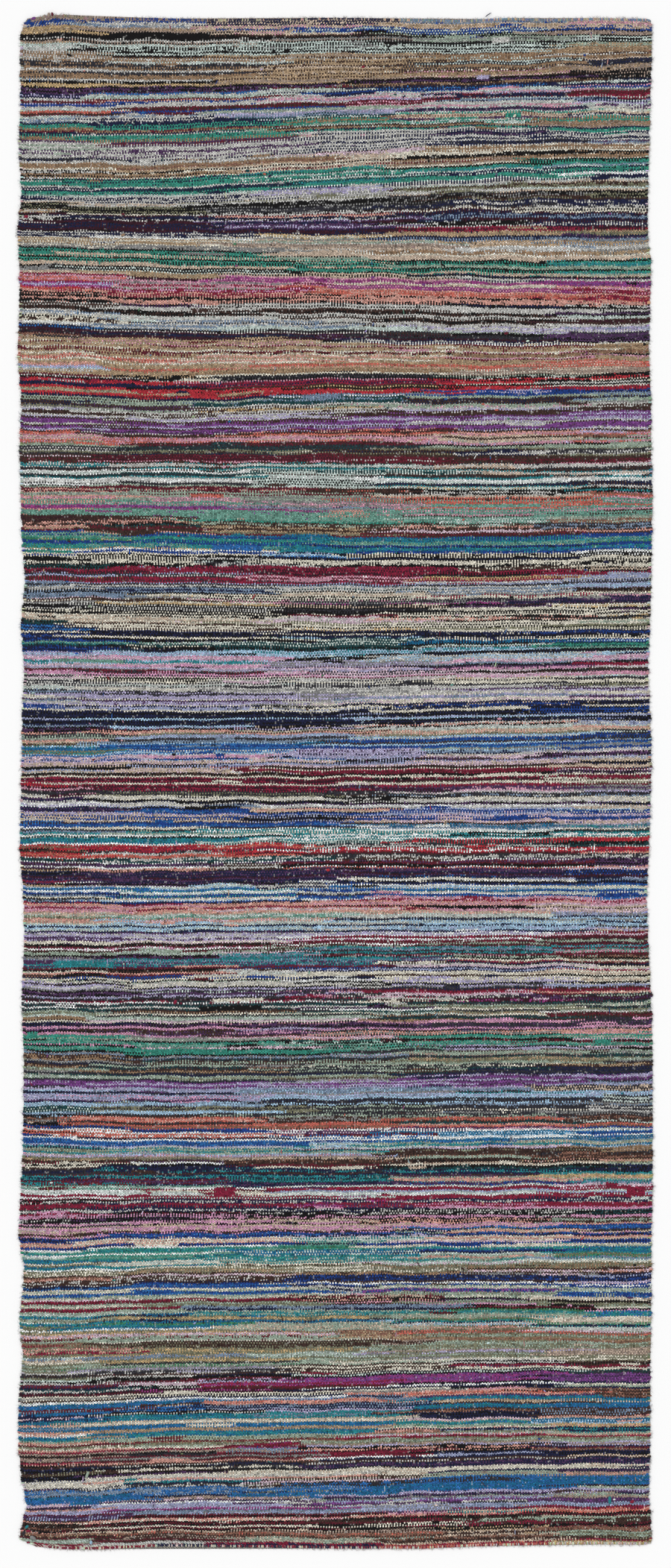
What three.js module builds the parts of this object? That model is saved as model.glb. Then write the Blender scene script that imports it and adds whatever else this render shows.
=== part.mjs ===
// A hand-woven striped kilim runner: one flat, weft-faced cloth that lies on the floor.
// Millimetres, +Z up. X runs across the runner, +Y runs along it to its head end,
// and the origin is the centre of the face that lies on the floor.

import * as THREE from 'three';

// Driving dimensions
const WIDTH = 1400;
const LENGTH = 3400;
const THICKNESS = 3;
const EDGE_ROUND = 1;
const EDGE_STEPS = 1;
const STEPS_PER_ROW = 3;

// The selvedges wander, because the weft was pulled in unevenly. Each row gives, at a
// distance along the runner from its foot end, how far the left and the right selvedge
// stand outside (+) or inside (-) their straight lines.
const SELVEDGES = [
  { along: 20, left: 3, right: 2 },
  { along: 60, left: -5, right: 1 },
  { along: 95, left: -14, right: -3 },
  { along: 140, left: -3, right: -4 },
  { along: 225, left: 5, right: -1 },
  { along: 325, left: 5, right: -1 },
  { along: 425, left: -5, right: -1 },
  { along: 500, left: 3, right: 1 },
  { along: 620, left: -8, right: 2 },
  { along: 690, left: 5, right: 1 },
  { along: 790, left: 0, right: 4 },
  { along: 890, left: -5, right: 4 },
  { along: 1090, left: -7, right: 4 },
  { along: 1220, left: -2, right: 1 },
  { along: 1350, left: -8, right: -6 },
  { along: 1450, left: -6, right: -9 },
  { along: 1550, left: 2, right: -4 },
  { along: 1750, left: -2, right: 2 },
  { along: 1850, left: -3, right: -1 },
  { along: 1950, left: -8, right: -6 },
  { along: 2050, left: 0, right: -2 },
  { along: 2150, left: -10, right: 1 },
  { along: 2230, left: -3, right: 2 },
  { along: 2350, left: 0, right: 4 },
  { along: 2450, left: 3, right: 1 },
  { along: 2550, left: -2, right: 1 },
  { along: 2650, left: 7, right: -4 },
  { along: 2750, left: 3, right: -2 },
  { along: 2850, left: 3, right: 1 },
  { along: 2930, left: 7, right: -7 },
  { along: 3010, left: -2, right: -6 },
  { along: 3110, left: 5, right: -4 },
  { along: 3210, left: 0, right: -1 },
  { along: 3310, left: 2, right: 2 },
  { along: 3370, left: 0, right: 2 },
];

// The two ends, in the same way: at a distance across from the left side, how far the
// foot and the head end stand outside or inside their straight lines.
const ENDS = [
  { across: 45, foot: 3, head: 6 },
  { across: 75, foot: 3, head: 9 },
  { across: 105, foot: 4, head: 5 },
  { across: 150, foot: 3, head: -1 },
  { across: 285, foot: -3, head: 1 },
  { across: 385, foot: -2, head: -2 },
  { across: 585, foot: 0, head: -1 },
  { across: 685, foot: 2, head: 2 },
  { across: 885, foot: 2, head: -2 },
  { across: 985, foot: -3, head: -4 },
  { across: 1080, foot: -5, head: 1 },
  { across: 1180, foot: -7, head: -2 },
  { across: 1280, foot: -8, head: 1 },
  { across: 1380, foot: -7, head: -1 },
];

// What each corner looks like: points between the last row of a selvedge and the last
// row of an end, given across from the left side and along from the foot end. The
// foot's left corner is cut off at a slant, so it has none.
const FOOT_RIGHT = [
  { across: 1398, along: 9 },
];
const HEAD_RIGHT = [
  { across: 1402, along: 3394 },
  { across: 1396, along: 3399 },
];
const HEAD_LEFT = [
  { across: 18, along: 3402 },
  { across: 8, along: 3390 },
];

function place(across, along) {
  return new THREE.Vector2(across - WIDTH / 2, along - LENGTH / 2);
}

// A soft curve through hand-set points, as the edge of a cloth runs.
function softened(points) {
  return new THREE.SplineCurve(points).getPoints((points.length - 1) * STEPS_PER_ROW);
}

// The outline of the cloth, anticlockwise from its foot's left corner.
function clothOutline() {
  const foot = ENDS.map((row) => place(row.across, -row.foot));
  const head = ENDS.map((row) => place(row.across, LENGTH + row.head)).reverse();
  const right = SELVEDGES.map((row) => place(WIDTH + row.right, row.along));
  const left = SELVEDGES.map((row) => place(-row.left, row.along)).reverse();
  const corner = (points) => points.map((point) => place(point.across, point.along));
  return [
    ...softened(foot),
    ...corner(FOOT_RIGHT),
    ...softened(right),
    ...corner(HEAD_RIGHT),
    ...softened(head),
    ...corner(HEAD_LEFT),
    ...softened(left),
  ];
}

// The cloth: the outline, as thick as the weave, with its edges a little rounded and
// the middle of its floor face at the origin.
function clothGeometry() {
  const geometry = new THREE.ExtrudeGeometry(new THREE.Shape(clothOutline()), {
    depth: THICKNESS - 2 * EDGE_ROUND,
    bevelEnabled: true,
    bevelThickness: EDGE_ROUND,
    bevelSize: EDGE_ROUND,
    bevelOffset: -EDGE_ROUND,
    bevelSegments: EDGE_STEPS,
  });
  geometry.computeBoundingBox();
  const { min, max } = geometry.boundingBox;
  geometry.translate(-(min.x + max.x) / 2, -(min.y + max.y) / 2, -min.z);
  return geometry;
}

const woolAndCotton = new THREE.MeshStandardMaterial({
  color: 0x6f6468,
  roughness: 0.95,
  metalness: 0,
});

const cloth = new THREE.Mesh(clothGeometry(), woolAndCotton);
cloth.name = 'woven_runner';

const runner = new THREE.Group();
runner.add(cloth);

export default runner;
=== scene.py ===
import math

import bpy
import numpy as np
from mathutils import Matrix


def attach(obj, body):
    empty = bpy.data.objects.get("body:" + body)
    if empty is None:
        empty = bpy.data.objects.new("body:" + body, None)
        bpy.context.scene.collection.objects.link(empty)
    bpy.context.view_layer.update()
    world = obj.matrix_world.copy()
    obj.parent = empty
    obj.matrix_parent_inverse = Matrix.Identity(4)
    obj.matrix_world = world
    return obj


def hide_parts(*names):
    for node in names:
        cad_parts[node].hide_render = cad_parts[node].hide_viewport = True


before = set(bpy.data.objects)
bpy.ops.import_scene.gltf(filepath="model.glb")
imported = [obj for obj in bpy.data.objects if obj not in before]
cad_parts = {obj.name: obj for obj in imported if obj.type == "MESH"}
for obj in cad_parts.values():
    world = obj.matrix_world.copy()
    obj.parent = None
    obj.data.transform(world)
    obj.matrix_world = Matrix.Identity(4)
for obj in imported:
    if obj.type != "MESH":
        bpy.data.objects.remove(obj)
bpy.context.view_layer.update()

# A hand-woven striped kilim runner. Metres; +X across to the right selvedge, +Y along
# to the head end, +Z up. The cloth is one weft-faced weave: picks (wefts) run across,
# warps run along, and every pick shows on every second warp only.

WIDTH = 1.400
LENGTH = 3.400
WARPS = 445
PICK = 0.00183
WARP = WIDTH / WARPS
MM = 1000

# How the photograph's frame lies over the cloth.
PHOTO_SIZE = (900, 2103)
PHOTO_MIDDLE = (450.25, 1050.25)
PIXEL = 0.001658

# The yarns, as the eye reads them on the cloth, each with its name and its short name.
YARNS = {
    "pale pl": "b9b4ab", "cream cr": "cdc3ae", "white wh": "d8d6cf", "mint mi": "b3bdb2",
    "sage sa": "93a08c", "olive ol": "7b785f", "grey gy": "85827e", "taupe tp": "9a8475",
    "beige be": "bda58e", "camel cm": "a88c6c", "gold go": "b99a6c", "brown br": "95765a",
    "rust ru": "8a6150", "umber um": "4c3630", "black bk": "1e1a1d", "coal co": "3b393f",
    "wine wi": "482231", "maroon ma": "6d2534", "crimson ci": "8e2540", "red re": "b9323c",
    "coral cl": "c36354", "salmon sm": "ca9080", "rose ro": "c48a98", "blush bl": "c6a9b2",
    "pink pk": "c68aa5", "magenta mg": "983f7b", "plum pm": "573a5e", "purple pp": "7d4585",
    "lilac li": "a79cb8", "lavender la": "959ab5", "sky sk": "97b4c7", "blue bu": "2f6aa5",
    "royal ry": "24478c", "navy nv": "272b4b", "steel st": "76879b", "peacock pc": "1e6c90",
    "teal te": "2a8387", "pine pi": "1f4a4c", "emerald em": "388c78", "green gr": "44805a",
    "sea se": "699684",
}
YARN_NUMBER = {
    name: number for number, names in enumerate(YARNS) for name in names.split()
}

# The stripes, from the head end down, read off the cloth. A line of five numbers
# gives the photograph's rows where a band starts, at five columns. The five lines below
# it are the weaver's five zones, from left to right. "nvpl4" is a stripe four picks wide
# of navy and pale wefts and "nv2" one of navy alone. A width of 1 or 2 is one or two
# picks exactly, and wider stripes share what is left of their band.
LINE_COLUMNS = (70, 210, 450, 670, 830)
STRIPES = """
22 27 25 26 27
tpum2 tpry3 rypl3 cmgo6
tp2 rypl4 plst3 tpcm5
be2 nvbe4 bero4 rybe2 bero4
be2 stry2 becm5 rymi6
stbe2 bero5 rybe3 rybk3 tp4
42 43 45 43 46
bk4 bkpl3 bksm2 tpcm3 misa3 mipl8
bk7 bkpl4 tp4 mi3 bk3 mi6 bkum3
umbk4 gytp3 bk1 mi3 bk1 migy3 bk1 migy3 bknv2 tp1
bk3 sagy5 bk3 mi4 bk2 mi4 um1
bk2 mi4 bk2 sacm3
69 78 71 70 60
br6 pl4 copl2 br6 pl3 co3 br6 pl2 bk3 go4 bkpm8
br4 plmi3 co3 br4 pl2 co3 br5 pl2 bk3 gocm3 bkpm8
cmtp4 um1 pl1 cm3 um1 cm3 um1 be2 cm2 um1 cmbe4 um1 cm3 um1 cmtp5 bkgo4 masa3
br6 mi2 co3 br5 umcr2 ro1 brcm4 bero2 um1 bkpm4 brum3
brcm8 umpl3 br4 be2 nvco7 tpcm6 bk9
126 125 119 111 105
nvli5 pl3 maum3 li1 rypl4 plmi3 clsm3 umma3 plmi3 stpl5 nvco2
bupl3 misa3 masm3 rypl3 pl3 maum4 rypl3 pl2 plst2 plnv4 nv2
migy3 nvli2 pl1 nvma2 ma1 plro3 ro1 li2 maro5 sapl3 list3 st2 pimi3
nvbu4 rymi4 roli3 nvma4 mi1 stnv3 plmi3 romi4 nvpm3 miem3 beru4 pmbr3
nvpl2 minv3 nvro3 rypl3 gysa2 maum3 maci4 pl2 nvst3 limi3 pmpl4 crmi5 beru2 nvpl3
166 165 158 158 154
em4 br3 ma2 nvpl2 em4 br4
nvem3 em4 mabr3 nvpl3 em4 br3
embr5 saem8 saro2
miem4 umbr2 br3 nvem3
em6 brtp7 nvem2 em4
188 189 177 171 176
pmpl3 plsa8 pmpl3 pl7 conv3 pl3
pmma3 pl7 pmpl5 pl6 nv1 pl4
robe3 pl2 nv1 pl4 pm1 pl5 nv1 pl5
pl4 nvpm4 pl6 nvco4 pl1
pl1 nvpl3 pl5 pmst3 pl2
219 220 203 194 193
br6 crbl2 bkpl3 br5 wh1
br3 ru2 cmbe3 bkcr4 br4 cr1
um1 blbe4 becr7 bk1 crbe3 ma1 be2
br5 cr3 bk3 brtp5 cr2
br5 cr2 bk2 br5 cr1
239 239 227 217 212
bkpl3 em5 plem2 nvpl4 em3 semi3
nvem4 em5 plnv2 nvpi3 em3 mi2 pl2
teem3 pi1 miem3 emwh2 pi1 mi2 piem2 teem3
bkpi2 emte4 mi2 nvmi3 em5 whmi1
bkpi2 em4 stmi3 nvpi2 em4 whmi3
263 265 247 237 233
nv4 pl2 bepl2 bkol7 cmpl3
nvpl5 plbe4 olbk8 cr2
stmi3 lipl5 gy1 pl4 ol1 pl2 bk2 bkgy4 cogy4 bkpl2 pl2 ma1 smpl2 ma1
nv4 plmi4 umol5 pl3 be1 coum3 bkgy4 umol3 nvpl6 co3 umpl2 cr1
nv4 mi1 plbe4 umol5 mi3 be2 bkol7 um3 nvpl6 copl4 cr4
284 288 290 281 283
wi2 bkpl4 pl2 wi4 nv5 wi3 bkpl3 nvpl5 cr1
wi2 nv3 bkpl2 wi4 nv5 wi3 nvpl6 wh2
pmli5 nvpm4 pmli7 wipm6 gowi2
wi3 nvst6 wi3 bkpl6 ciwi5
wi3 nvst6 wi3 nvpl5 wici5
318 320 317 308 307
cm6 cr1 gy4
cm6 cr1 gy5
crgo3 gy2 besa3 pl1 tpbe5 pl1 be6
cm5 nvbk3 st3 cmbe6 wh1 pl4 br5 crwh2 be5
cmol6 nvpm4 stgy3 cm5 pl4 gy2 cm5 cr2 be5
330 334 343 347 349
bk2 em4 be4
bk2 em5 be3
bk1 sa3 bk1 emsa4
bk2 em4 sa4
bk2 emte4 sa3
342 346 354 359 360
bk2 em4 be4
bk2 em5 be3
bk1 embe3 bk1 em3
bk2 em3 be4
bk2 emte3 sabe4
354 358 364 370 371
bk2 gy4 be3
bk2 mi4 cm5
bk1 be3 bk1 be1
nvbk3 pl5
bkpm3 pl2
364 372 371 379 377
ciwi2 rocl7 ci1 mgli6 clre3 sm3
wipl3 rogy4 cism2 rosa3 cipk4 sm5
ro2 mgro4 roma3 mgcl5 cl4
mgro3 crbe4 mgro4 sm2 cl4 sm1
mgpp6 smpk3 ciro5 sm2 cicl5 sm5
391 398 393 400 407
bk2 sm5 bk3
bk3 sm6
bk1 clsm3 bk1 sm4
bksm2 sm5
bkpl6
403 408 404 408 414
pl4 umbk4 pl2 stpl4 cr2 bk1 crum5 pl4
bkpm3 pl4 bkum6 plmi4 stpl3 co1 plst7
bk1 pl3 bk1 pl2 um2 pl1 umpl3 bk1 pl4 bk1 pl7 um1 mi5
bknv3 pl6 bkum3 pl4 umbk4 pl3 lipl5
pl3 bkpm5 mi3 umwi6 pl3 list3 pl3
434 441 442 445 446
nvbu4 wipm3 wico5 ru1
bkpl3 wi3 nvco4 wi3
coum3 wipm5 bk1 whro1 bk2
sa1 bkpl4 co4 winv3 nvpl5 wh1
co6 pmbk5 bkpl2 cr1
447 454 458 463 460
ru2 cm5 cr1 ma1 cm5 cr1 ma1 cm4 cr4 clsm5 cr2 cm3 sm3 lisk4 pl1 cm6 mapl2 pl1
cm7 rocr1 ma1 cm5 cr2 ma2 cm5 cr1 clsm5 cr2 cm5 clcm4 cm5 bkcm4
cr1 cm5 rocm2 cr1 cm1 cr2 cmbk2 crcm2 smcm4 cr2 smcm4 cm5 brcm4 cr2
ma2 cm5 crro2 ma1 br5 rocr2 ma1 cm6 cl5 cr3 tp5 bk1 sa1
cmbr6 cr2 rubr4 bkum2 robk2 cm5 clsm5 be4 tp6 cr1
503 508 500 505 500
bk2 cire4 nv5 re4 cmsa4 re4 nv3
bkpl3 re4 nv3 bk3 re5 cmsa3 mare3 nv2
bk4 co1 bk1 ro1 cinv4 cium3 gocr1 bkum3 re5
bkpl4 re6 cr1 bk3 re5 ryli5
bk4 re4 cr1 bkpl6 cr1 cire5 rynv3
530 537 527 527 525
sa5 umnv5 olgy3
nv1 sa5 umpm6 sa2
stwh3 pist8 pl2
rywh3 sa3 umnv6 saro2
stsa3 um1 nvsa4 sagy3
545 553 542 543 539
plli3 um5 plli3
pl3 um3 plli5
um1 pl1 umgo3 pl1 ma1 plli8
saro2 plli3 um5
pl2 um7
558 566 560 556 550
um2 pp4 pl2 umpp2 pp3 li2
um2 pp3 li2 um2 pppm3 pl1
um1 lipl3 ppli9
ppli6 plli3 um1 pp5 li1
ppli7 lipl3 um1 pp5 plli3
576 583 576 576 574
um2 cl3 robe5 cl3
um3 rocl5
masm2 sm1 umcl3 sm1 um1 robe6
um2 smro4 be2 um2 besa3 roli3
umru3 rocl4 saro4 um1 sa2 rocl3
593 593 594 596 593
olsa3 copl6 ol1 coum4 bl1 umma5 um2
umma3 copi5 olum3 conv2 mawi6 ro1 um1
umol5 olcr5 um5 mapl4 maum4
bkpl2 saol3 umol2 nvpl4 um2 umma6 co1
bkpl2 sa3 ol1 copl5 olsa2 um3 ma3 ro1
620 618 621 622 620
te1 pl3 coum3 whmi4 copi3 te1 whpl5 co3 sapl2
umte2 pl4 umte3 wh4 pico3 te2 plwh6 co3 sa2
pi1 mipl3 pi1 te2 mi1 pi1 mi3 um1 miwh5 bk1 mi4 bk1 mipl3
plbe5 umte2 te1 plbe4 umco3 te2 whmi5 nvco3 te1 migo3
pl4 coum4 te1 plbe3 cote3 te1 whmi4 nvum4 plum3
653 653 654 656 653
masm5 sagy4 smro4 se6
masm3 sa8 rogy3 rosm2 se4 gy1
um1 umcl3 um1 sa1 maum2 sagy6 gyro6
bkpl6 be2 clum3 se7 clro2
bkte4 bkma2 rucl4 rogy2 se5 secl4 se3 rogy2
676 679 680 682 683
mgpp5 smgy1 se6
ppmg3 se7
stpm2 gy2 smse4 se9 emse2
se6 rogy2 umse1 semi7
umse2 se6 sagy4
690 691 701 701 696
umwi6 umsm5 smcm3 mary2
umsa3 umsm5 bkpi3 umma5 umsm3
umsa3 umcm7 olcm2 masm2
umsa3 smum4 umbl5 maum4
rusa4 cost6 umsm6
711 713 719 719 714
ry5 seem4 grgo3 ry4 emte5 go1
ry4 teem5 ry4 tese5 go1
pcte8 tese4 pcte4 te3
ry5 tese4 sego2 rynv3 tepc4 ry3
rybu4 sete5 gr1 ry3 tebu3 ry2
736 736 741 742 736
wh2 ry2 cr4 bk5 cr3 bkpi5
wh2 ry3 cr2 bk4 cr4 bk5
nvla2 skbu4 bkpl3 pl1 bk2 mi1 copl4
cr4 bknv4 cr4 bk3 umcr4
wh3 bk3 cr4 bk3 cr5 bkbe5
761 761 761 765 765
ciwi5 cola4 umgo1 ci5 la1
ci6 la1 copl4 ci6
ciwi9 rowh2 maro4 ma2
ci4 bkco3 goci2 ci4
ci4
779 781 782 780 770
stco5 plgy3 bkcr1 st9 bl1 umcr3 gypl3
lapl1 copl4 stnv5 bk1 crgo3 gyli2 umcr3 crgo3
cost3 plla3 pi1 pl2 bk1 crbe4 bk1 cr2 bk1 crro2 bk1 rocr2 bk1 be3
plla3 co2 plst8 gy2 cipl1 cr3 cogy4 mgpm2
lapl6 co3 lask6 umbk5 crgy3 ropm2 nvpm7 um1 crgo4
809 809 815 810 813
bkco4 pl1 bkcr2 cr1 bk3 crbe7
bk6 pl1 bkcr2 cr1 bk4 crbe7
bkco5 bkcr3 maro2 blpl6 ol1 cr4
bkpm3 cr3 bk3 cr2 bksm2 crsm3 bk2 cr6
bkpm4 cr1 bkcr2 crgo3 bkco4 crsa5
831 835 841 840 836
pibk4 cr1 nvbu7 cr2 nvry9
umcr5 cr4 nvbk8 cr2 bknv4
bk1 crgo3 nvbk3 crsk1 bk1 nvsk3
olcr3 cr2 nvbk6 cr3
olbk3 cr3 nvry5 bkcr2 cr3
859 861 856 857 856
sete3 pibk2 nvry7
mise2 picr3 bknv7
pimi8 pibk4 skte4 bkbu1 skmi2 bk3
pcnv3 bkpi2 mium3 skte4 bknv3
rysk3 piem4 se1 bknv3
873 875 885 876 872
lisk5 blpk4 tesk5 bl3 ligy3
skli5 pkbl4 skte4 blpk5 ligy3
ligy7
plsk6 blpk4 stpl2
misk4 blpk5 li1
896 899 893 889 884
maco2 pk4 pl1 copl2 blpl3 pl1 copl6 mipl3
coma3 pk4 cr1 bkol2 cr3 bk1 plmi3 co1 plcr4
pm1 blli4 co1 bl2 coma1 blpk3 ma1 pl2 co1 plcr3 co1 pl1 copl4
bkpm3 pk3 pl1 bkum3 blpk4 crgo2 co1 cr4 co2 pl3
cobk3 ciro3 blpl3 umco3 ropk4 misk2 cool3 cr3 bk1 olco3 pl2
923 927 924 922 921
cost5 ligy2 crpl4 pmst3 plli4
pl1 coli4 li3 cr1 pmco2 li3 cr1
gypl6 ligy7 plgy6
pmli3 plcr3 list4 crbl4
pmli4 crpl3 lipm4 cr3
944 946 947 938 938
ryla5 cr2 nvbk9
nvli2 la3 cr2 nvbk7
bkcr4 nvbk6 nvpi5
nvbe3 rynv4 cr3 bknv6
nvbk5 cr2 bkry8 pl1
963 963 966 957 957
lask2 nvbk6 stla2 bkpm6 sm2 cosa3 sagy3 smbe4 umol3
sk2 nvbk7 skla3 bkma2 smbe3 olco2 lask4 cost6 sk1
nvbk4 bkbe2 li2 bk1 besa2 um1 smbe2 um1 sali3
lask3 bknv4 plsm3 bkpl2 plmi4 besm4 olum2 skpl3
la2 bknv5 lapl4 migy2 smbe3 co2 misk2
999 997 988 987 981
skte2 pcbu3 olte4 sk1 bu2 bl3 li1 ryli2 blbe5
bury6 pl1 busk3 blpk4 ry2 sk1 blbe4
stbu3 sk2 pc2 sk2 pcbu1 rysk3 lisk2 pm1 li3 nv1 lila4 bk1 la3 nv1 lali3
rybu4 umco2 skmi2 rybu4 gysa2 sk1 stnv3 plbe2 bl2 umpm3 la1 blbe5
ry6 cost3 sk1 rybu3 gyst3 ry3 plla3 bl1 bkpm4 lapl3 be3
1027 1025 1028 1025 1020
bk3 lapl2 bepl3 bkum3 cr2 ciwi5 cr2
bk3 la1 bebl5 bkum3 cr2 ciwi6 cr2
pm1 sm1 mapl4 wh1 cima2 whsm1 ci1 sm1 maci3 sm1 crbl4
umbk3 cr1 cima4 bk2 cr3 ciwi3 um1 cr3
bknv3 be3 ma2 bl1 bkpm3 cr2 maci4 olum1 cr4
1052 1052 1054 1049 1049
cire3 wiro5 copm4 crpl4
ciwi7 cool5 crpl4
wipm6 copl3 um1 bkpl10
ci3 pmro5 blpl3 cost5 crpl6
ma2 gypm6 lipk2 cost5 crpl6 li1
1070 1071 1079 1075 1075
pmnv3 pl3 whli4 nvpm5 libe3
bknv3 plcr4 la1 bk2 rybu5 libe3
nvst4 smbe3 bk1
bkpm3 whpl4 lask2 ry4 labl4
bknv3 plbe4 sk1 rypl4 blli3
1093 1094 1089 1095 1094
ry4 bepl3 umol2 rybu4
ry4 bepl2 co1 rybu5
ryla3 bknv1 la1 bknv3 la1 rysk2 lisk3 coum2
ry4 blbe3 umol2 stpc5
ry4 blbe4 pl1 stte5
1108 1109 1109 1112 1110
wh2 copi2 stte4 whcr3 pipl2 tepc6 wh2
crwh3 cosa2 tesa4 wh2 bkpi2 tepc6 wh2
wh1 tewh4 crmi1 tewh9 mipi4
whmi3 bkpi2 te4 wh2
cr2 copi3 tewh5 cr1
1132 1134 1131 1125 1123
reru5 bkum4 recl6 whsm1 pico4 wh1
reci6 copl4 clwh2 clru2 pipl5 wh1
rewh2 clwh3 rowh2 reru5 umpl2
re4 pi1 copl5 rewh4 maum3 copl5 wh1
re5 bkpi3 pipl3 reci5 smwh2 copl5
1157 1158 1148 1152 1149
pmwi4 wh2 umcm4 nvbk5 wipm3 nvpm3 cipm3 bkpm2
pmbk4 wh2 smum3 nvpm8 wipm3 nvpm3 bkpm3
umpl17 pmwi8 whco4 plco2
mapm5 bkpm3 wh1 clro1 pmnv5 wipm3 nvbu3 crwh3 bkcr2 nvry3
pmbk9 smwh2 blnv2 nvry6 wipm3 last3 nvbk3 rybu3
1187 1188 1183 1187 1187
cmpl3 skpl1 bupc3 whsk3 rynv3 stpi2 crbk3 cost4 cinv2
wh1 misk3 bute3 wh2 misk2 ryte4 crbe2 skwh2 rynv3 cipm2
copl2 pl2 nvpl2 skbu2 rysk3 plmi2 copl2 rybu4 whsk2 umsm3
whmi2 skpl3 bupc3 plwh3 rybu4 robl3 ciro3
crmi4 bury4 mipl4 rybu4 robl3 ciro3
1212 1213 1210 1209 1211
smro4 ciro3 rosm3 bemi4 saol3 smbe5 misk3
rosm4 cima3 smbe5 mise5 smsa1 blsm4 skmi4
smro3 cism3 blbe5 mibl6 saol2 smbl4 plmi5
smro5 bkro6 besm3 mipl4 cogy1 nvst2 skmi5
robl3 beum3 blbe4 lagy3 nvst2 skgy4 nvco2 skst2
1241 1242 1240 1238 1238
nv2 skmi4 nvpm2 lipl4 pmli4 cr4
nv2 skmi5 nvpm3 plli5 pmli3 crbl3
nvsk2 skpl5 nvpi2 plli5 mapl2 blpk3 mapl2
nvsk2 skla5 nvco2 whli4 cima3 whpk2 maci3
skgy2 co2 libe4 maci3 blpl2 mawi4 umsa4
1265 1265 1262 1262 1262
bkum3 ma2 whpk2 umma2 sa4 bkum2 pmgy3 stte3 pmte3 te5
bkum3 ma2 whpk2 umma3 sami4 bkpm3 pmwi2 test4 pmst2 tepm4
mapl2 whbk2 masa3 umsa4 blum2 test7 pmst5 crum4
saum4 maum2 test3 stco4 teco3 maro3 sabk4 cr2 ciru2 nvbk3
wima4 test3 mate3 sero4 maum3 umru4 bkol3 crsm2 maru2 nvbk3
1297 1297 1294 1294 1295
mawi3 bkum2 cr2 smma2 umru3 nvum2 crsa3 bk1 crli3
maci2 bkum3 smcr2 maum2 ryum3 cr2 bksa2 plcr5
umpl2 rybl2 umpl3 plmi4 crbk2 nvbk3 whpl3 bkpl2 pl2
plbl3 nvla4 crla2 cr2 umbk2 crli6 bkco2
crbl4 cism2 crbe5 bkco2 crbe6 bkcr3
1320 1322 1319 1318 1319
bkum2 lipl5 gyco2 bkpm6 ligy2 cost2 wici3
bk2 li2 comi3 pmbk4 lico3 cobk2 wici4
bkpl2 plco3 coli2 ropm3 lipm3 roci5 plco2
ligy3 conv3 maci4 blro3 copl3 wimg5
lagy3 umli3 maci4 smcr3 cosa3 wipm6
1343 1343 1340 1342 1341
whpk2 copi3 whpl2 pico3 saol4 micr2 brum4 crpk2
whci2 copi4 plmi2 pico2 umbr4 cr2 copi3 sami4 blcr3
umcr4 pl2 bkpm5 whum2 pisa3 mium2 brcr4 umbr4
pico3 saol3 cr2 conv2 olbr3 crmi2 copi3 umro2 pkro3
copi3 sacr3 copi3 olsa3 pl2 umma5 pkro3
1369 1373 1370 1370 1366
nvbk5 pkro3 pmbk4 pkro3 emsa5
bkpm4 pk3 umpm6 pkli2 gysa4
ropm3 pmbk4 lipm3 pmpk4 umro3 blsm3
copm6 pk3 umpi2 smgy4 bk1 emse4
copm7 pkro3 cogy2 smro5 emsa5 bl2
1392 1396 1394 1392 1393
bk2 seem4 pk1 bk2 emse5 bkgy3 stgy2
bk2 emse5 blgy2 bk2 em5 bk2 gyst3
pise2 se1 bkmi2 seem2 bk1 emse2 bkpi1 se2 cose3 lico3
bkma3 emse4 ligy2 bkpm2 ligy3 um1 satp4
bkma3 seem4 blgy2 bkwi3 sagy5
1415 1419 1417 1413 1412
umbr6 gyst2 conv3 umbr3 saol3 gypl2 copi3 sami3 copm3
copi3 umsa4 sagy2 copi3 umbr4 conv4 saol4 conv3
saco4 gyco6 umru2 saco5 umpi5 saum3 gy2
copi3 olcm4 sa3 cocr4 pisa2 nvco5 lipm3
copi4 olsa4 gyco3 umcm5 nvco9 lipp2
1448 1450 1448 1442 1443
ppli3 pppm4 coli3 li2 skst2 nvco3 lali9 pmnv3
ppli5 pppm4 lali6 nvco3 lapk7 pmco4
lisa3 ppli7 nv2 stsk5 gyli4 linv3 lila4
pppm3 lipm4 pppm7 ligy3 stla3 cote4 skla5 conv4
lipm2 pppm3 cost4 lali3 cobe8 skla5 comi10
1477 1479 1476 1475 1478
skla6 pimi8 skst3 bksk3 umru4 gyco3 bkbe5
skst6 olco6 skst4 coum4 clsm6 coum4 clru5
stbk7 saco5 cosa9 umgy8 clru5 brum3
cosk5 st2 co3 cocr5 gyst3 cosa4 clru4 umpi5 smbe2 clci2
gyst3 copl8 gyco4 umco3 ruum4 ummi5 clru4
1509 1514 1513 1510 1509
rynv4 whpl2 clbk5 rynv4 wh2 bury7
rynv4 wh2 clwh5 nvbk2 wh2 bury6
whro2 pmbl4 mabu4 whbu5 rysk5
pmro4 wh2 pcsk7 wh3 pcbu5
rynv3 miwh3 bury6 wh2 pcst7
1533 1535 1533 1531 1530
lawh2 tenv3 saol5 tesa4 blli4 olcm4 umma5
lapl4 te1 sate7 sk1 liro3 tpol4 umpm4
mite7 skpl4 st1 rusm5 beco5 umru4
sate5 blli3 umol5 um4 ru1 sa3 umbk5
sabe4 pcsk3 brtp8 coum3 umru6 smcm3
1560 1559 1559 1557 1557
crbk5 um2 conv8 ma1 tenv6 mate7
whbk3 bknv5 nvte6 um2 nvte6 mapm7 nvst2
umma6 crma3 conv8 tepi9 pmnv5
becr3 bkpi6 nvte7 umpm4 sasm6 pmry5
olsa3 nvbk11 tesa4 gosm4 saol2 test5 bl2
1589 1590 1590 1588 1588
semi6 whmi6 ci6 bkpl5
semi4 cicr4 miwh5 ci4 nvpl5
nvte2 whmi2 macr4 crci4 minv3 cimg6
miwh2 ci5 last2 miwh4 ci5 nvpl5 ci1
blmi1 ci5 mila4 ci5 nvpl6 ci1
1613 1612 1613 1613 1612
ci6 copl6 cipk3 pk3
ci6 nvpl6 bkma4 pk4
cipm5 nvli3 mapk4 bkpk6
ci4 pk3 bkpl7 pk3
ci5 pk3 pibk7 pk3
1633 1631 1632 1632 1632
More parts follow.
